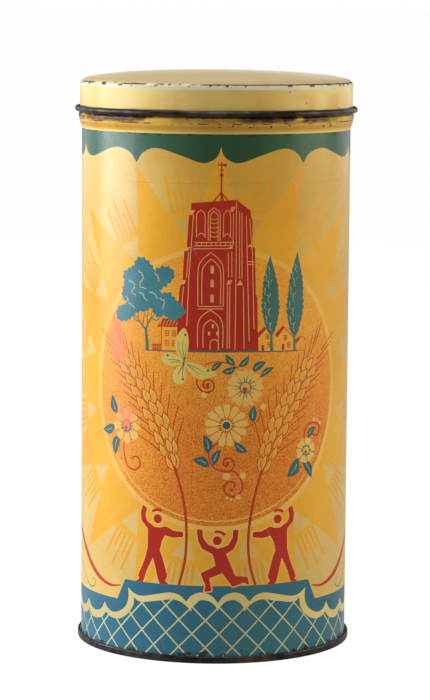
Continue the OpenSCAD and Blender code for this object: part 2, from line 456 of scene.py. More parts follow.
def butterfly(pic):
    for wing in [
            [(-14.6, 123.2), (-17.4, 127), (-18.4, 131), (-17.2, 134.4), (-14.4, 137.4), (-12.7, 134),
             (-12.7, 129), (-13.4, 125)],
            [(-15, 123.4), (-18.4, 121.8), (-22.4, 122.4), (-24, 124.6), (-22.8, 126.8), (-19.6, 127),
             (-16.6, 125.6)],
            [(-14.8, 122.8), (-18.2, 120.4), (-19.2, 117.4), (-17.8, 114.8), (-15, 114.8), (-13.5, 117.2),
             (-13.8, 120.6)],
            [(-14, 123), (-10, 123.2), (-5, 121.2), (-1.2, 119.2), (-4, 117.2), (-8.6, 117), (-12, 119.2)]]:
        pic.fill("wing", spline(wing, 5, closed=True))
    for path in [
            [(-14.5, 124.4), (-16.4, 128.4), (-16.6, 131.4)], [(-14.2, 125), (-15, 129), (-14.8, 133)],
            [(-13.9, 124.6), (-13.6, 128), (-13.9, 130.6)], [(-16, 124), (-19, 124.4), (-21.4, 124.2)],
            [(-16, 123.4), (-18.8, 123.4), (-20.4, 123)], [(-15, 121.6), (-16.4, 119.6), (-16.8, 118)],
            [(-14.6, 121.4), (-15, 119), (-14.8, 117)], [(-13.2, 122.4), (-10.4, 120.6), (-8.2, 118.6)],
            [(-13, 122.6), (-9.6, 121.4), (-6.6, 119.8)]]:
        pic.line("foliage", spline(path, 4), 0.3, 0.14)
    for u, z in [(-21.3, 126), (-14.8, 116.6), (-14, 134.6), (-4.6, 120.3)]:
        pic.fill("foliage", circle(u, z, 0.5, 10))
    pic.line("foliage", spline([(-15, 121.4), (-14.5, 123.4), (-14.2, 125.6)], 4), 0.7, 0.4)


def flower(pic, u, z, r, petals, centre, turn=0.0, notch=0.0, slim=1.0):
    """Rounded petals round a ringed centre; a notch makes each petal heart-shaped."""
    half = math.pi / petals * slim
    for k in range(petals):
        a0 = turn + math.tau * k / petals
        tip = []
        for i in range(15):
            t = -1 + i / 7
            reach = r * (1 - 0.36 * abs(t) ** 3.2 - notch * math.exp(-(t / 0.28) ** 2))
            tip.append((reach, half * math.sin(t * math.pi / 2)))
        waist = half * (0.8 if notch else 0.5)
        outline = [(centre * 0.8, -waist)] + tip + [(centre * 0.8, waist)]
        pic.fill("petals", [polar(u, z, q, a0 + b) for q, b in outline])


def spokes(pic, ink, u, z, count, near, far, width, spread=0.0):
    """Short lines round a flower's centre, in pairs when they are spread apart."""
    for k in range(count):
        for side in ((-1, 1) if spread else (1,)):
            a = math.tau * k / count + side * spread
            b = a - side * spread * 0.35
            pic.line(ink, [polar(u, z, near, b), polar(u, z, far, a)], width, width * 0.5)


def flowers(pic):
    flower(pic, 10.6, 113.1, 8.1, 8, 2.3, turn=0.2, notch=0.15, slim=0.93)
    spokes(pic, "foliage", 10.6, 113.3, 8, 2.2, 4.5, 0.42, 0.17)
    pic.fill("foliage", circle(10.6, 113.3, 2.4))
    pic.fill("light", circle(10.6, 113.3, 2))
    pic.fill("roof", circle(10.4, 112.4, 1.1, 14))

    flower(pic, 3, 98, 8.7, 13, 3, turn=0.1, slim=0.82)
    spokes(pic, "roof", 3, 98, 18, 2.3, 3.5, 0.55)
    pic.fill("petals", circle(3, 98, 2.1))
    pic.fill("foliage", circle(3, 98, 1.6, 16))

    flower(pic, -40.7, 95.8, 7.1, 8, 2.4, turn=0.05, slim=0.8)
    flower(pic, 39.2, 85.9, 5.4, 6, 2, turn=0.25, notch=0.08, slim=0.9)
    for u, z, r, n in [(-40.7, 95.8, 2.2, 12), (39.2, 85.9, 1.9, 8)]:
        spokes(pic, "foliage", u, z, n, r, r + 1.1, 0.55)
        pic.fill("foliage", circle(u, z, r + 0.25))
        pic.fill("blush" if u < 0 else "light", circle(u, z, r - 0.25))
        pic.fill("roof", circle(u - 0.2, z - 0.7, 0.75, 12))
    for u, z, r in [
            (3.2, 77.2, 1.5), (9.8, 77.3, 1.3), (8, 68.6, 1.1), (3.4, 68.2, 0.6), (5.1, 67.6, 0.6),
            (-6.2, 110.3, 1.2), (18.3, 105.2, 1.2), (43.6, 98.2, 0.8), (45.6, 97.8, 0.7),
            (47.4, 96.4, 0.7)]:
        pic.fill("petals", circle(u, z, r, 14))


def leaves(pic):
    for u0, z0, u1, z1, width, bend in [
            (6.4, 122.6, 2.4, 127, 2.3, 0.1), (7.6, 121.8, 12, 126.2, 2.3, -0.1),
            (13.3, 119.6, 19.4, 123.6, 2.7, 0.08), (17, 117.3, 23, 121.1, 2.1, 0.1),
            (1, 119.7, 6.9, 121.9, 2.4, -0.1), (-3.2, 120, 1.3, 123.5, 2, 0.1),
            (13.9, 99, 14.3, 106, 3, 0.05), (11.7, 86.9, 6.3, 91.6, 2.7, 0.12),
            (-4.4, 86.3, -6.4, 94.2, 3.1, -0.12), (-2.2, 81.6, 0.8, 88.2, 2.7, 0.1),
            (-3.7, 81, -10.8, 83.8, 3.3, -0.14), (-45.8, 100, -49, 107.8, 3.4, 0.1),
            (-47.2, 95.2, -55.4, 92.8, 3.3, 0.1), (-44.8, 91.6, -47, 83.2, 3.6, -0.12),
            (40, 90.9, 44.7, 95.2, 2.4, 0.1), (35, 83.2, 29.2, 75.6, 4.2, 0.14),
            (37.4, 81.9, 42.6, 74, 3.3, 0.1)]:
        outline, middle = leaf_shape((u0, z0), (u1, z1), width * 1.2, bend)
        pic.fill("foliage", outline)
        pic.line("frost", middle[2:-2], 0.45, 0.15)


def tendrils(pic):
    for lead, whirl, w in [
            ([(-9.2, 117), (-8.8, 114), (-6.6, 111.6)], curl(-4.8, 114.4, 3.3, 0.8, 250, 1.3), 0.6),
            ([(-41.6, 90.4), (-42.2, 86.4), (-41.2, 82)], curl(-36.4, 81.6, 4.2, 0.9, 215, 0.95), 0.55),
            ([(0, 91.2), (-3.6, 88), (-3.8, 83.6), (-1.6, 80.4), (1.6, 79.3)],
             curl(3.4, 82.4, 3.4, 0.6, 290, 1.1), 0.65),
            ([(1.6, 79.3), (6, 79.2)], curl(5.2, 72.8, 5.2, 0.9, 50, -1.3), 0.65),
            ([(37.9, 91.4), (38.4, 94), (40.2, 96.4)], curl(44.3, 93.6, 3.6, 1.4, 110, -0.85), 0.6),
            ([(11, 97), (14.6, 98.6), (16.6, 101), (16.8, 104)], [], 0.4),
            ([(-6, 122.6), (-2, 123.8), (3, 123.4), (7.6, 121.2)], [], 0.4)]:
        pic.line("tendril", spline(lead + whirl[::3], 5), w, w * 1.25)
    for u, z in [(-4.8, 114.4), (3.4, 82.4), (5.2, 71.6)]:
        pic.fill("tendril", circle(u, z, 0.8, 12))


def on_path(path, t):
    """The point and the direction at a share of the way along a path."""
    length, at = paced(path)
    ahead, back = at(t * length + 1), at(t * length - 1)
    return at(t * length), math.degrees(math.atan2(ahead[1] - back[1], ahead[0] - back[0]))


def wheat(pic, spine, stem, side):
    """An ear of wheat: three rows of grains on a curved spine, bristles, and a stem.
    It is drawn on the left, and mirrored for side 1."""
    def put(points):
        return points if side < 0 else mirrored(points)

    rows = 9
    for k in range(rows + 2):
        here, heading = on_path(spine, min(0.08 + 0.92 * k / (rows + 1), 0.99))
        for out in (-1, 1):
            start = moved([(3, 2.3 * out)], *here, turn=heading)[0]
            lean = heading + (40 if out > 0 else -33) * (1 - 0.055 * k)
            bristle = moved([(0, 0), (7, -0.3 * out), (14.5 - 0.25 * k, 0)], *start, turn=lean)
            pic.fill("stalk", put(stroke(spline(bristle, 3), 0.55, 0.34)))
    pic.fill("stalk", put(stroke(spline(stem, 5), 1.1, 1.1)))
    for k in reversed(range(rows)):
        here, heading = on_path(spine, 0.9 * k / rows)
        slim = min(1, 0.66 + 0.13 * k, 1.5 - 0.08 * k)
        for out in (1, -1, 0):
            bend = 0.07 if out > 0 else -0.07
            grain = leaf_shape((0, 0), (8.8 - 0.6 * (out == 0), 0), 3.9 * slim, bend, 12, 1.25)[0]
            spot = moved([(-0.4 if out else 0.9, 1.35 * out * min(slim, 0.3 + k))], *here, turn=heading)[0]
            place = dict(du=spot[0], dz=spot[1], turn=heading + 17 * out * slim)
            pic.fill("stalk", put(moved(grain, **place)))
            pic.fill("gleam", put(moved(swollen(grain, -0.38), **place)))
            face = moved(swollen(grain, -0.6), -0.35, -0.1)
            pic.fill("grain", put(moved(face, **place)))


def ears(pic):
    spine = spline([
        (-17.5, 79), (-19.6, 85), (-22.4, 92.4), (-26.3, 100.4), (-31, 108.2), (-36, 115.6), (-40.6, 121.8),
        (-44.4, 127)])
    left_stem = [(-18.4, 82), (-17.5, 78.6), (-14.9, 70), (-13.3, 60), (-13, 50), (-13.8, 41), (-16, 32)]
    wheat(pic, spine, left_stem, -1)
    right_stem = [
        (-18.2, 80.8), (-17.3, 77.4), (-14.8, 68.4), (-12.9, 58), (-12.3, 49), (-13.2, 40), (-15.6, 32)]
    wheat(pic, [(u, z - 1.2) for u, z in spine], right_stem, 1)


# A plain faceless figure with one arm raised and one held out, feet on z = 0.
STANDING = [
    (-7.2, 32.2), (-5.2, 31), (-6, 27.8), (-4.9, 25.4), (-3, 24.4), (-1.8, 23.5), (0.8, 23.4), (3.2, 24.2),
    (6.8, 22.4), (10.6, 22.3), (10.8, 20.2), (6.6, 19.6), (2.8, 20.4), (1.4, 17.4), (0.6, 14), (1.8, 11.4),
    (4, 3.4), (2.9, 1.7), (4.4, 0.3), (4.2, 0), (0.8, 0), (-0.1, 2), (-2.4, 11), (-5.2, 5.4), (-7.1, 0),
    (-10.8, 0), (-8.7, 1.6), (-9.5, 2.6), (-6.4, 9.4), (-4.9, 14.6), (-4.8, 22.6), (-7.9, 25.6), (-8.2, 29)]

# The same kind of figure on one knee with both arms raised, foot on z = 0.
KNEELING = [
    (-8.8, 23.4), (-6.4, 23.2), (-6.2, 20), (-4, 17), (-2.4, 16.6), (-0.2, 15.4), (2.4, 16.2), (4.2, 17),
    (5.9, 20), (6, 23.2), (8.2, 23.2), (8, 19), (6.2, 15), (3.1, 13.4), (4, 11.4), (7, 4.2), (12.2, 3.6),
    (12.9, 0.2), (10.6, 1.4), (6, -0.4), (1.8, 5.4), (-3.6, 3.2), (-2.8, -0.6), (-2.6, -2), (-5.6, -2.4),
    (-5, 0.2), (-7.2, 5.2), (-1, 8.4), (-2.2, 13.2), (-6.6, 15.4), (-8.2, 18.6)]


def rounded(points):
    """A closed outline with its corners cut 0.35 mm from each."""
    out = []
    for a, b in zip(points, points[1:] + points[:1]):
        share = min(0.35, 0.35 / math.dist(a, b))
        out += [(a[0] + (b[0] - a[0]) * share, a[1] + (b[1] - a[1]) * share),
                (b[0] + (a[0] - b[0]) * share, b[1] + (a[1] - b[1]) * share)]
    return out


def person(pic, shape, head, place, cap=62):
    """A figure with a pale outline, a round head and a cap that starts at an angle."""
    body = moved(rounded(shape), *place)
    hu, hz = moved([head], *place)[0]
    pic.fill("outline", swollen(body, 0.55))
    pic.fill("outline", circle(hu, hz, 2.75, 24))
    pic.fill("people", body)
    pic.fill("people", circle(hu, hz, 1.85, 20))
    pic.line("people", arc(hu, hz, 3.7, cap, cap + 70), 1.2, 1)


def side_stems(pic):
    stem = spline([
        (-95.9, 46.4), (-HALF_PANEL, 50.2), (-80, 46.4), (-74, 41.8), (-66, 35.4), (-58, 30.6), (-50, 28.4),
        (-43.6, 29.2)])
    stem = stroke(stem, lambda t: 0.5 + 2 * math.sin(math.pi * t ** 0.9) ** 1.2)
    scroll = spline([
        (-95.9, 33), (-HALF_PANEL, 34.6), (-81, 34), (-76, 31.5), (-71, 27.4), (-66, 25.1), (-62.4, 26),
        (-61.6, 28), (-63.2, 29.1), (-64.6, 28.3)])
    scroll = stroke(scroll, lambda t: 0.25 + 0.45 * math.sin(math.pi * t))
    for ink, points in (("stalk", stem), ("scroll", scroll)):
        pic.fill(ink, points)
        pic.fill(ink, mirrored(points))


def drawn_picture():
    pic = Picture()
    pic.fill("ground", box(-100, 0, 100, 220))
    for motif in (fan_rays, side_stems, disc, houses, tower, round_tree):
        motif(pic)
    poplar(pic, (21.4, 134), (20.6, 165.6), 3.8)
    poplar(pic, (32.2, 133), (33.4, 166.6), 4.1)
    for motif in (ground_line, tendrils, butterfly, leaves, flowers, ears):
        motif(pic)
    person(pic, STANDING, (-0.3, 27), (-25, 31.8))
    person(pic, mirrored(STANDING), (0.3, 27), (24.9, 31.7), 48)
    base_band(pic)
    person(pic, KNEELING, (-0.4, 18.8), (0, 32), 36)
    valance(pic)
    return pic.outlines


# ---- from the picture to the wall
def inside(points, outline):
    """Which points lie in a closed outline, by its winding number."""
    a = np.array(outline)
    b = np.roll(a, -1, 0)
    x, y = points[:, :1], points[:, 1:]
    up = (a[:, 1] <= y) & (b[:, 1] > y)
    down = (a[:, 1] > y) & (b[:, 1] <= y)
    left = (b[:, 0] - a[:, 0]) * (y - a[:, 1]) - (x - a[:, 0]) * (b[:, 1] - a[:, 1])
    return ((up & (left > 0)).sum(1) - (down & (left < 0)).sum(1)) != 0


def cut_up(outlines, columns, rows):
    """One flat triangle mesh that every outline, column line and row line cuts, and
    the ink of each triangle."""
    points, edges = [], []

    def add(path, closed):
        first = len(points)
        points.extend(Vector(q) for q in path)
        n = len(path)
        edges.extend((first + i, first + (i + 1) % n) for i in range(n if closed else n - 1))

    u0, u1, z0, z1 = columns[0], columns[-1], rows[0], rows[-1]
    for u in columns:
        add([(u, z0), (u, z1)], False)
    for z in rows:
        add([(u0, z), (u1, z)], False)
    for _, outline in outlines:
        a = np.array(outline)
        if a[:, 0].min() < u1 and a[:, 0].max() > u0 and a[:, 1].min() < z1 and a[:, 1].max() > z0:
            add(outline, True)
    places, _, faces, *_ = delaunay_2d_cdt(points, edges, [], 0, 1e-4)
    places = np.array([tuple(p) for p in places])
    faces = np.array([tuple(f) for f in faces])
    middles = places[faces].mean(1)
    a, b, c = (places[faces[:, i]] for i in range(3))
    area = np.abs(np.cross(b - a, c - a))
    kept = ((middles[:, 0] > u0) & (middles[:, 0] < u1) & (middles[:, 1] > z0) & (middles[:, 1] < z1)
            & (area > 1e-7))
    faces, middles = faces[kept], middles[kept]

    inks = np.full(len(faces), "", dtype=object)
    for ink, outline in outlines:
        a = np.array(outline)
        near = np.nonzero((middles >= a.min(0)).all(1) & (middles <= a.max(0)).all(1))[0]
        if len(near):
            inks[near[inside(middles[near], outline)]] = ink
    return places, faces, middles, inks


def mesh_object(name, places, faces, normals, material, body):
    """A mesh in millimetres with its own exact normals, riding on a body."""
    mesh = bpy.data.meshes.new(name)
    mesh.from_pydata((np.array(places) * MM).tolist(), [], np.array(faces).tolist())
    mesh.polygons.foreach_set("use_smooth", [True] * len(mesh.polygons))
    mesh.normals_split_custom_set_from_vertices(np.array(normals).tolist())
    mesh.materials.append(material)
    piece = bpy.data.objects.new(name, mesh)
    bpy.context.scene.collection.objects.link(piece)
    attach(piece, body)


def print_pieces(finishes):
    """Prints the picture on the front and on the back of the wall, one piece per ink."""
    front = (DISC[0] - HALF_PANEL, HALF_PANEL - PRINT_TURN - SEAM_MARGIN)
    back = (-HALF_PANEL - PRINT_TURN + SEAM_MARGIN, DISC[0] + HALF_PANEL)
    columns = sorted([*front, *back, *np.arange(front[0] + COLUMN, front[1] - 0.5, COLUMN)])
    rows = [PRINT_LOW, *np.arange(ROW, PRINT_TOP - 2, ROW), PRINT_TOP]
    places, faces, middles, inks = cut_up(drawn_picture(), columns, rows)
    for ink, finish in finishes.items():
        sides = []
        for side, (low, high) in ((1, front), (-1, back)):
            mine = faces[(inks == ink) & (middles[:, 0] > low) & (middles[:, 0] < high)]
            used, order = np.unique(mine, return_inverse=True)
            angle = (places[used, 0] + PRINT_TURN) / WALL_R
            out = np.stack([side * np.sin(angle), -side * np.cos(angle), 0 * angle], 1)
            spot = out * PRINT_R
            spot[:, 2] = places[used, 1]
            sides.append((spot, order.reshape(-1, 3), out))
        (a, fa, na), (b, fb, nb) = sides
        if ink in LARGE_INKS:
            mesh_object(f"print_{ink}_front", a, fa, na, finish, "can")
            mesh_object(f"print_{ink}_back", b, fb, nb, finish, "can")
        else:
            mesh_object(f"print_{ink}", np.vstack([a, b]), np.vstack([fa, fb + len(a)]),
                        np.vstack([na, nb]), finish, "can")


# ---- finishes
def colour(r, g, b):
    """A linear colour from screen values of 10 to 255."""
    return (*(((v / 255 + 0.055) / 1.055) ** 2.4 for v in (r, g, b)), 1)


class Finish:
    """A material whose nodes all read the object's own coordinates, in metres."""

    def __init__(self, name, roughness, metallic=0.0, gloss=0.5):
        self.material = bpy.data.materials.new(name)
        self.material.use_nodes = True
        self.tree = self.material.node_tree
        self.shader = self.tree.nodes["Principled BSDF"]
        self.shader.inputs["Roughness"].default_value = roughness
        self.shader.inputs["Metallic"].default_value = metallic
        self.shader.inputs["Specular IOR Level"].default_value = gloss
        self.place = self.tree.nodes.new("ShaderNodeTexCoord").outputs["Object"]
        split = self.node("ShaderNodeSeparateXYZ", Vector=self.place)
        self.x, self.y, self.z = split.outputs

    def node(self, kind, **inputs):
        made = self.tree.nodes.new(kind)
        for name, value in inputs.items():
            self.set(made.inputs[name], value)
        return made

    def set(self, socket, value):
        if isinstance(value, bpy.types.NodeSocket):
            self.tree.links.new(value, socket)
        else:
            socket.default_value = value

    def math(self, operation, a, b=0.0, clamp=False):
        made = self.tree.nodes.new("ShaderNodeMath")
        made.operation = operation
        made.use_clamp = clamp
        self.set(made.inputs[0], a)
        self.set(made.inputs[1], b)
        return made.outputs[0]

    def noise(self, scale, detail=3.0, stretch=(1, 1, 1), shift=0.0, lean=0.0):
        """Cloudy noise of about 1/scale metres, stretched along the axes and leant sideways."""
        leant = self.node("ShaderNodeVectorRotate", Vector=self.place, Axis=(0, 1, 0), Angle=lean)
        mapped = self.node("ShaderNodeMapping", Vector=leant.outputs[0], Scale=stretch,
                           Location=(shift, shift, shift))
        made = self.node("ShaderNodeTexNoise", Vector=mapped.outputs[0], Scale=scale, Detail=detail)
        return made.outputs["Fac"]

    def patches(self, scale, detail, low, high, shift=0.0, stretch=(1, 1, 1), lean=0.0):
        """Noise cut into patches: 0 up to the low level and 1 from the high level on."""
        return self.ramp(self.noise(scale, detail, stretch, shift, lean), low, high)

    def dots(self, scale, size):
        """Small specks: 1 inside a speck and 0 outside."""
        cells = self.node("ShaderNodeTexVoronoi", Vector=self.place, Scale=scale)
        return self.ramp(cells.outputs["Distance"], size, size * 0.6)

    def ramp(self, value, low, high, to_low=0.0, to_high=1.0):
        """The value's place between low and high, smoothly from 0 to 1."""
        made = self.node("ShaderNodeMapRange", Value=value)
        made.interpolation_type = "SMOOTHSTEP"
        self.set(made.inputs["From Min"], low)
        self.set(made.inputs["From Max"], high)
        made.inputs["To Min"].default_value = to_low
        made.inputs["To Max"].default_value = to_high
        return made.outputs[0]

    def span(self, value, low, high, to_low=0.0, to_high=1.0):
        """The same for a length, with low and high in millimetres."""
        return self.ramp(value, low * MM, high * MM, to_low, to_high)

    def near(self, spot, inner, outer):
        """1 close to a point given in millimetres, falling to 0 at the outer distance."""
        gap = self.node("ShaderNodeVectorMath")
        gap.operation = "DISTANCE"
        self.set(gap.inputs[0], self.place)
        self.set(gap.inputs[1], tuple(v * MM for v in spot))
        return self.span(gap.outputs["Value"], outer, inner)

    def band(self, low, high, soft):
        """1 between two heights in millimetres, and 0 outside them."""
        up = self.span(self.z, low - soft, low + soft)
        return self.times(up, self.span(self.z, high + soft, high - soft))

    def mix(self, a, b, share, blend="MIX"):
        made = self.tree.nodes.new("ShaderNodeMix")
        made.data_type = "RGBA"
        made.blend_type = blend
        self.set(made.inputs["Factor"], share)
        self.set(made.inputs["A"], a)
        self.set(made.inputs["B"], b)
        return made.outputs["Result"]

    def times(self, a, b):
        return self.math("MULTIPLY", a, b)

    def most(self, a, b):
        return self.math("MAXIMUM", a, b)

    def finish(self, base, roughness=None, bump=None, strength=0.3, metallic=None):
        self.set(self.shader.inputs["Base Color"], base)
        if roughness is not None:
            self.set(self.shader.inputs["Roughness"], roughness)
        if metallic is not None:
            self.set(self.shader.inputs["Metallic"], metallic)
        if bump is not None:
            made = self.node("ShaderNodeBump", Height=bump, Strength=strength, Distance=0.0002)
            self.set(self.shader.inputs["Normal"], made.outputs[0])
        return self.material


def browned_and_shaded(f, base, tint, share=1.0):
    """A darker tint, deepest in the middle and fading out to the sides, soonest on the front's left:
    varnish gone brown, and painted shade where the side lamps reach least."""
    # Painted shade and brown varnish in one mask.
    middle = f.times(f.span(f.x, -36, -2), f.span(f.x, 72, 16))
    return f.mix(base, (*tint, 1), f.times(middle, share), "MULTIPLY")


def worn_and_shaded(f, base):
    """Years of handling on printed tin, and painted shade: the middle of the picture darker,
    partly varnish gone brown and partly painted shade; spots bled pink, a little dirt, hairline
    scratches, painted shade along a crease, and chips at the wall's ends."""
    # Painted shade and brown varnish: darker in the middle, more so higher up.
    base = browned_and_shaded(f, base, (0.86, 0.79, 0.46), f.span(f.z, 60, 190, 0.35, 0.8))
    clouds = f.patches(18, 3, 0.35, 0.7)
    base = f.mix(base, (0.93, 0.85, 0.7, 1), f.times(clouds, 0.5), "MULTIPLY")
    grime = f.patches(420, 5, 0.5, 0.78)
    base = f.mix(base, (0.62, 0.5, 0.36, 1), f.times(grime, 0.16), "MULTIPLY")
    for spot in PINK_SPOTS:
        base = f.mix(base, colour(250, 124, 92), f.times(f.near(spot, 2, 6), 0.6))
    specks = f.times(f.dots(330, 0.1), f.patches(60, 2, 0.56, 0.66, 4))
    base = f.mix(base, colour(70, 42, 26), f.times(specks, 0.7))
    rise = f.patches(60, 3, 0.71, 0.75, 7, (16, 0.5, 0.8), 0.5)
    fall = f.patches(70, 3, 0.72, 0.76, 2, (14, 0.5, 0.8), -0.8)
    lines = f.times(f.most(rise, fall), 0.12)
    base = f.mix(base, colour(224, 206, 166), lines)
    # Painted shade along a crease: a broken darker line round the wall.
    crease = f.times(f.band(195.4, 195.6, 0.15), f.patches(30, 2, 0.46, 0.56, 9))
    base = f.mix(base, (0.6, 0.52, 0.42, 1), f.times(crease, 0.5), "MULTIPLY")
    ends = f.most(f.band(0, 4.6, 1.3), f.band(214.3, 217, 0.7))
    ragged = f.math("ADD", f.noise(230, 5, (1, 1, 1.6), 3), f.times(ends, 0.16))
    chips = f.times(f.ramp(ends, 0, 0.3), f.ramp(ragged, 0.7, 0.73))
    return f.mix(base, colour(46, 38, 32), f.times(chips, 0.92)), lines, chips


def ink(name, base, faded, bare=None):
    """Printed ink under clear varnish, a little paler in places."""
    f = Finish(f"ink_{name}", 0.22, gloss=0.3)
    shade = f.mix(colour(*base), colour(*faded), f.patches(34, 4, 0.42, 0.66, 1))
    if bare:
        shade = bare(f, shade)
    shade, lines, chips = worn_and_shaded(f, shade)
    rough = f.ramp(f.noise(150, 4, shift=5), 0.3, 0.7, 0.25, 0.34)
    rough = f.math("ADD", rough, f.times(chips, 0.3), clamp=True)
    grain = f.math("SUBTRACT", f.noise(900, 2, shift=6), f.times(f.math("ADD", lines, chips), 1.5))
    return f.finish(shade, rough, grain, 0.1)


def sprayed(f, shade):
    """The disc: gold under red-brown spatter that thickens down and to the right."""
    low = f.span(f.z, 142, 84)
    low = f.times(low, f.span(f.x, -46, -6, 0.35, 1))
    shade = f.mix(shade, colour(238, 148, 42), f.times(low, 0.8))
    spatter = f.math("ADD", f.noise(2300, 1, shift=8), f.times(low, 0.13))
    shade = f.mix(shade, colour(196, 76, 12), f.times(f.ramp(spatter, 0.56, 0.68), 0.72))
    drops = f.times(f.dots(900, 0.28), f.patches(240, 2, 0.42, 0.57, 9))
    return f.mix(shade, colour(140, 42, 16), f.times(drops, f.ramp(low, 0, 1, 0.25, 0.7)))


def yellowed_and_shaded(f, shade):
    """The pale rays: deep yellow in the middle, most of all high up, partly varnish gone yellow and partly
    painted shade.
    """
    # Painted shade and yellow varnish in the middle.
    return browned_and_shaded(f, shade, (0.94, 0.82, 0.44), f.span(f.z, 60, 150, 0.2, 1))


def valance_shade(f, shade):
    """The green valance: painted shade, darkest in the middle."""
    # Painted shade in the middle of the valance.
    return browned_and_shaded(f, shade, (0.5, 0.6, 0.52), f.span(f.x, 34, 10, 0.2, 1))


def darker_to_left(f, shade):
    """The ribbon over the lattice: darker towards its left."""
    return f.mix(shade, (0.78, 0.8, 0.9, 1), f.span(f.x, -22, -46), "MULTIPLY")


# The two tones of each ink.
FINISHES = dict(
    ground=((235, 174, 50), (231, 167, 44)), rays=((222, 188, 114), (218, 181, 102)),
    finger=((234, 166, 42), (228, 158, 36)), ring=((238, 188, 96), (233, 180, 84)),
    disc=((240, 170, 58), (236, 161, 52)), valance=((58, 98, 82), (64, 104, 88)),
    band=((48, 106, 133), (55, 112, 133)), lattice=((206, 206, 156), (184, 190, 148)),
    ribbon=((228, 208, 140), (220, 198, 128)), foliage=((52, 96, 102), (60, 104, 104)),
    frost=((176, 182, 146), (180, 178, 138)), tree=((68, 126, 142), (60, 116, 130)),
    poplar=((70, 114, 120), (62, 106, 110)), trunk=((86, 116, 96), (76, 106, 88)),
    house=((240, 172, 66), (238, 164, 58)), roof=((184, 50, 26), (190, 64, 32)),
    tower=((178, 36, 18), (184, 42, 22)), etch=((236, 172, 110), (222, 146, 84)),
    light=((236, 190, 90), (226, 172, 76)), petals=((232, 192, 106), (226, 184, 98)),
    wing=((224, 198, 106), (210, 190, 100)), blush=((240, 128, 90), (244, 146, 100)),
    tendril=((184, 50, 20), (192, 62, 26)), stalk=((180, 52, 22), (190, 66, 28)),
    grain=((232, 162, 56), (226, 154, 50)), gleam=((244, 196, 92), (238, 184, 80)),
    outline=((242, 186, 92), (238, 174, 78)), people=((180, 38, 22), (186, 46, 28)),
    scroll=((130, 138, 88), (146, 148, 92)))
# The inks with a mesh for the front and one for the back, and what else tints some of them: spatter, brown
# varnish and painted shade.
LARGE_INKS = ("ground", "rays", "disc", "valance", "band")
BARE = dict(disc=sprayed, rays=yellowed_and_shaded, valance=valance_shade, ribbon=darker_to_left)


def lacquer_bead():
    """Ochre varnish on the bead under the lid, scraped and rusted where the lid rubs, with painted shade on
    the bead's lower flank and in the middle.
    """
    f = Finish("lacquer_bead", 0.3, gloss=0.3)
    shade = f.mix(colour(228, 182, 80), colour(216, 160, 60), f.patches(60, 4, 0.4, 0.7))
    # Painted shade: a darker ochre band on the bead's lower flank.
    shade = f.mix(shade, colour(196, 134, 42), f.times(f.band(216.9, 218.6, 0.4), 0.55))
    shade = f.mix(shade, colour(236, 206, 118), f.band(215.2, 216.1, 0.15))
    # Painted shade and brown varnish: darker in the middle.
    shade = browned_and_shaded(f, shade, (0.66, 0.66, 0.55), f.span(f.x, 46, 10, 0.2, 1))
    patchy = f.patches(70, 5, 0.36, 0.5, 2, (1, 1, 2.4))
    left = f.span(f.x, -12, -30, 0, 0.9)
    right = f.span(f.math("ABSOLUTE", f.math("SUBTRACT", f.x, 28 * MM)), 26, 12)
    sides = f.most(f.most(left, right), 0.25)
    rub = f.times(f.times(f.band(219.8, 224, 1.0), patchy), sides)
    shade = f.mix(shade, colour(112, 56, 14), rub)
    soot = f.times(rub, f.patches(300, 6, 0.4, 0.52, 4, (1, 1, 2)))
    shade = f.mix(shade, colour(36, 20, 10), f.times(soot, 0.95))
    dash = f.times(f.band(219.1, 219.5, 0.1), f.patches(130, 4, 0.5, 0.54, 3))
    chips = f.times(f.band(217.4, 221.8, 0.6), f.patches(420, 6, 0.63, 0.66, 5, (1, 1, 1.5)))
    dark = f.most(dash, chips)
    shade = f.mix(shade, colour(38, 28, 22), f.times(dark, 0.92))
    rough = f.ramp(f.most(rub, dark), 0, 1, 0.26, 0.45)
    return f.finish(shade, rough, f.math("SUBTRACT", f.noise(700, 3), dark), 0.15)


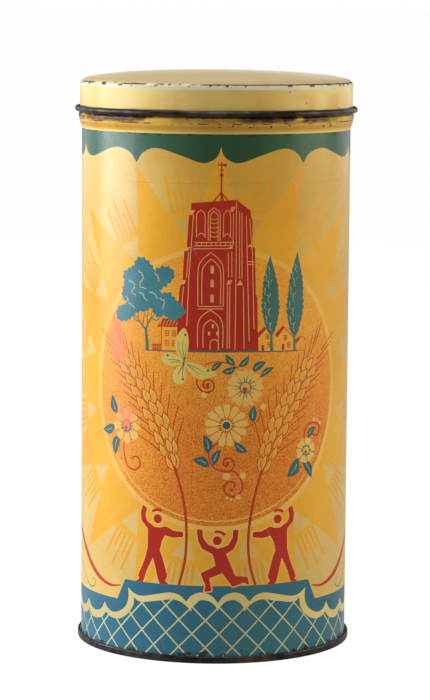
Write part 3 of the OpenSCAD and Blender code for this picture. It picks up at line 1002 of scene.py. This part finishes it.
def lacquer_lid():
    """Cream varnish on the lid, deeper yellow on the side and chipped along the edge between side and top.
    Painted shade darkens the side in the middle and on its left; the top is pale grey-cream, partly a
    painted reflection, and darker towards the front as painted shade; a pale band along the corner is wear
    and a painted highlight."""
    f = Finish("lacquer_lid", 0.3, gloss=0.18)
    shade = f.mix(colour(232, 208, 138), colour(226, 190, 108), f.patches(36, 5, 0.42, 0.7))
    ochre = f.times(f.band(224, 231, 2.5), f.patches(44, 4, 0.46, 0.62, 9))
    shade = f.mix(shade, colour(222, 168, 84), f.times(ochre, 0.7))
    # Painted shade and brown varnish: the side darker in the middle.
    shade = browned_and_shaded(f, shade, (0.74, 0.66, 0.46), f.span(f.x, 46, 8, 0.25, 1))
    # Painted shade: the side darker on its left.
    shade = f.mix(shade, (0.9, 0.88, 0.8, 1), f.span(f.x, -26, -44), "MULTIPLY")
    top = f.span(f.z, 234.9, 235.4)
    cloudy = f.patches(22, 4, 0.36, 0.64, 2)
    # The top: pale grey-cream, partly a painted reflection.
    top_with_painted_light = f.mix(colour(214, 202, 180), colour(200, 186, 158), cloudy)
    # Painted shade: the top darker towards the front.
    top_with_painted_light = f.mix(top_with_painted_light, colour(174, 152, 104), f.span(f.y, 6, -44, 0, 0.75))
    shade = f.mix(shade, top_with_painted_light, top)
    shade = f.mix(shade, colour(176, 154, 108), f.times(f.band(235.1, 236.4, 0.3), 0.6))
    # Wear and a painted highlight: a pale band along the rounded corner.
    pale = f.times(f.band(232.9, 235, 0.35), f.patches(50, 5, 0.26, 0.5, 3))
    shade = f.mix(shade, colour(212, 204, 178), f.times(pale, 0.85))
    thick = f.math("ADD", f.noise(50, 5, shift=6), f.span(f.x, -8, 10, 0, 0.1))
    line = f.times(f.band(234.55, 235.1, 0.15), f.ramp(thick, 0.42, 0.5))
    chips = f.times(f.band(234.0, 235.2, 0.4), f.patches(320, 5, 0.56, 0.59, 4))
    spots = f.times(f.dots(240, 0.12), f.patches(50, 2, 0.56, 0.66, 5))
    foot = f.times(f.band(223.8, 224.9, 0.25), f.patches(100, 4, 0.4, 0.6, 7))
    dark = f.most(f.most(line, chips), f.most(spots, f.times(foot, 0.6)))
    shade = f.mix(shade, colour(36, 30, 26), f.times(dark, 0.94))
    scratches = f.patches(60, 3, 0.7, 0.73, 8, (9, 9, 0.6), 1.2)
    shade = f.mix(shade, colour(236, 226, 196), f.times(scratches, 0.3))
    rough = f.most(f.ramp(dark, 0, 1, 0.27, 0.6), f.times(top, 0.56))
    return f.finish(shade, rough, f.math("SUBTRACT", f.noise(500, 3), dark), 0.15)


def tinplate(name, rust_share, rim, darker, darkest):
    """Bare tinplate: grey clouds, fine rolling lines, some rust, and two darker tones
    for what lies beyond a radius in millimetres."""
    f = Finish(name, 0.35, metallic=1.0)
    shade = f.mix(colour(216, 213, 206), colour(196, 192, 184), f.patches(60, 5, 0.35, 0.65))
    rolled = f.noise(260, 3, (1, 1, 12), 2)
    shade = f.mix(shade, colour(170, 166, 158), f.times(f.ramp(rolled, 0.45, 0.7), 0.3))
    radius = f.node("ShaderNodeVectorMath")
    radius.operation = "LENGTH"
    f.set(radius.inputs[0], f.node("ShaderNodeCombineXYZ", X=f.x, Y=f.y).outputs[0])
    outer = f.mix(colour(*darker), colour(*darkest), f.patches(160, 4, 0.35, 0.65, 6))
    shade = f.mix(shade, outer, f.span(radius.outputs["Value"], rim - 0.15, rim))
    rust = f.times(f.patches(260, 6, 0.5, 0.66, 3), f.patches(34, 3, 0.42, 0.62, 7))
    rust = f.times(rust, rust_share)
    shade = f.mix(shade, colour(92, 54, 32), rust)
    metal = f.math("SUBTRACT", 1.0, rust, clamp=True)
    rough = f.ramp(f.noise(150, 4, shift=4), 0.3, 0.7, 0.28, 0.48)
    rough = f.math("ADD", rough, f.times(rust, 0.3), clamp=True)
    return f.finish(shade, rough, f.math("ADD", rolled, rust), 0.12, metal)


# ---- turned skins
def turned(name, profile, material, body, turns=192):
    """A smooth skin of revolution from a profile of (radius, height, normal angle)."""
    angle = np.arange(turns) * math.tau / turns
    places, normals, faces = [], [], []
    for r, z, lean in profile:
        c, s = math.cos(math.radians(lean)), math.sin(math.radians(lean))
        places += [(r * math.cos(a), r * math.sin(a), z) for a in angle]
        normals += [(c * math.cos(a), c * math.sin(a), s) for a in angle]
    for i in range(len(profile) - 1):
        for j in range(turns):
            k = (j + 1) % turns
            faces.append((i * turns + j, i * turns + k, (i + 1) * turns + k, (i + 1) * turns + j))
    mesh_object(name, places, faces, normals, material, body)


def proud(path, by):
    """A path of (radius, height) moved outwards by a distance, with its normal angles."""
    p = np.array(path, float)
    ahead = unit(np.gradient(p, axis=0))
    out = np.stack([ahead[:, 1], -ahead[:, 0]], 1)
    return [(r, z, math.degrees(math.atan2(n[1], n[0]))) for (r, z), n in zip(p + out * by, out)]


def bead_skin():
    """Varnish on the bead and the lower part of the neck, a hair proud of the steel."""
    mid = WALL_R - SHEET / 2
    rise = [(mid + t * t * (3 - 2 * t), PRINT_TOP + 3.7 * t) for t in np.linspace(0, 1, 11)]
    swell = [(mid + 1 + 0.4 * math.sin(math.pi / 2 * t), 219 + 1.9 * t) for t in np.linspace(0.2, 1, 5)]
    fall = [(mid + 1.4 - 1.2 * t * t * (3 - 2 * t), 221 + 1.5 * t) for t in np.linspace(0, 1, 7)]
    neck = [(mid + 0.2, 224), (mid + 0.2, 226.5)]
    return proud([*rise, *swell, *fall, *neck], SHEET / 2 + INK)


def lid_skin():
    """Varnish on the lid's side, corner and top."""
    side = [(LID_R, z) for z in (224.2, 226, 229, 232, CORNER_Z)]
    corner = [polar(LID_R - CORNER_R, CORNER_Z, CORNER_R, a) for a in np.radians(range(10, 61, 10))]
    dome = [(56 * math.cos(a), 234.85 + 4.48 * math.sin(a)) for a in np.radians(np.linspace(7, 89.9, 40))]
    return proud([*side, *corner, *dome], SHEET / 2 + INK)


# ---- building
inks = {name: ink(name, *tones, BARE.get(name)) for name, tones in FINISHES.items()}
print_pieces(inks)
turned("bead_varnish", bead_skin(), lacquer_bead(), "can")
turned("lid_varnish", lid_skin(), lacquer_lid(), "lid")

metals = {
    "body_wall": tinplate("tin_wall", 0.25, 55.9, (158, 152, 140), (118, 111, 100)),
    "bottom_end": tinplate("tin_bottom", 0.45, 56.6, (66, 63, 62), (44, 41, 40)),
    "lid_cap": tinplate("tin_lid", 0.25, 56.9, (70, 65, 61), (44, 40, 36)),
}
for name, metal in metals.items():
    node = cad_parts[name]
    for i in range(len(node.data.materials)):
        node.data.materials[i] = metal


# ---- floor, light and camera
paper = bpy.data.materials.new("floor_paper")
paper.use_nodes = True
coat = paper.node_tree.nodes["Principled BSDF"].inputs
coat["Base Color"].default_value = (0.06, 0.06, 0.06, 1)
coat["Roughness"].default_value = 0.9
coat["Specular IOR Level"].default_value = 0
coat["Emission Color"].default_value = (1, 1, 1, 1)
seen = paper.node_tree.nodes.new("ShaderNodeLightPath")
glow = paper.node_tree.nodes.new("ShaderNodeMapRange")
glow.inputs["To Min"].default_value = 0.45
glow.inputs["To Max"].default_value = 0.98
paper.node_tree.links.new(seen.outputs["Is Camera Ray"], glow.inputs["Value"])
paper.node_tree.links.new(glow.outputs[0], coat["Emission Strength"])

sheet = bpy.data.meshes.new("floor")
sheet.from_pydata([(u, v, -0.0002) for u, v in box(-60, -60, 60, 60)], [], [(0, 1, 2, 3)])
sheet.materials.append(paper)
floor = bpy.data.objects.new("floor", sheet)
bpy.context.scene.collection.objects.link(floor)

for name, place, size, power, tint in [
        ("window_left", (-1.3, 0.06, 0.45), (1.0, 0.88), 24.5, (0.93, 0.97, 1)),
        ("soft_right", (1.25, 0.0, 0.46), (0.9, 0.6), 7.8, (1, 0.98, 0.74)),
        ("rim_left", (-1.0, 1.2, 0.5), (0.9, 0.8), 2.4, (1, 1, 1)),
        ("rim_right", (1.0, 1.2, 0.5), (0.9, 0.8), 2.4, (1, 1, 1)),
        ("soft_front", (0.15, -1.3, 1.3), (1.2, 0.7), 10, (1, 1, 1)),
        ("overhead", (0.0, 0.0, 1.5), (1.2, 1.2), 14, (1, 1, 1))]:
    light = bpy.data.lights.new(name, "AREA")
    light.shape = "RECTANGLE"
    light.size, light.size_y = size
    light.energy = power
    light.color = tint
    lamp = bpy.data.objects.new(name, light)
    lamp.location = place
    lamp.rotation_euler = (Vector(LAMP_AIM) - Vector(place)).to_track_quat("-Z", "Y").to_euler()
    bpy.context.scene.collection.objects.link(lamp)

world = bpy.data.worlds.new("studio")
world.use_nodes = True
sky = world.node_tree
background = sky.nodes["Background"]
background.inputs["Color"].default_value = (0.62, 0.62, 0.62, 1)
background.inputs["Strength"].default_value = 0.15
white = sky.nodes.new("ShaderNodeBackground")
white.inputs["Color"].default_value = (1, 1, 1, 1)
rays = sky.nodes.new("ShaderNodeLightPath")
choice = sky.nodes.new("ShaderNodeMixShader")
for i, source in enumerate((rays.outputs["Is Camera Ray"], background.outputs[0], white.outputs[0])):
    sky.links.new(source, choice.inputs[i])
sky.links.new(choice.outputs[0], sky.nodes["World Output"].inputs["Surface"])
bpy.context.scene.world = world
bpy.context.scene.view_settings.view_transform = "Standard"

lens = bpy.data.cameras.new("camera")
lens.lens = 148.0
lens.sensor_width = 36
lens.clip_start = 0.01
camera = bpy.data.objects.new("camera", lens)
tilt = Matrix.Rotation(math.radians(90) - CAMERA_DOWN, 4, "X") @ Matrix.Rotation(CAMERA_ROLL, 4, "Z")
camera.matrix_world = Matrix.Translation(CAMERA_PLACE) @ tilt
bpy.context.scene.collection.objects.link(camera)
bpy.context.scene.camera = camera
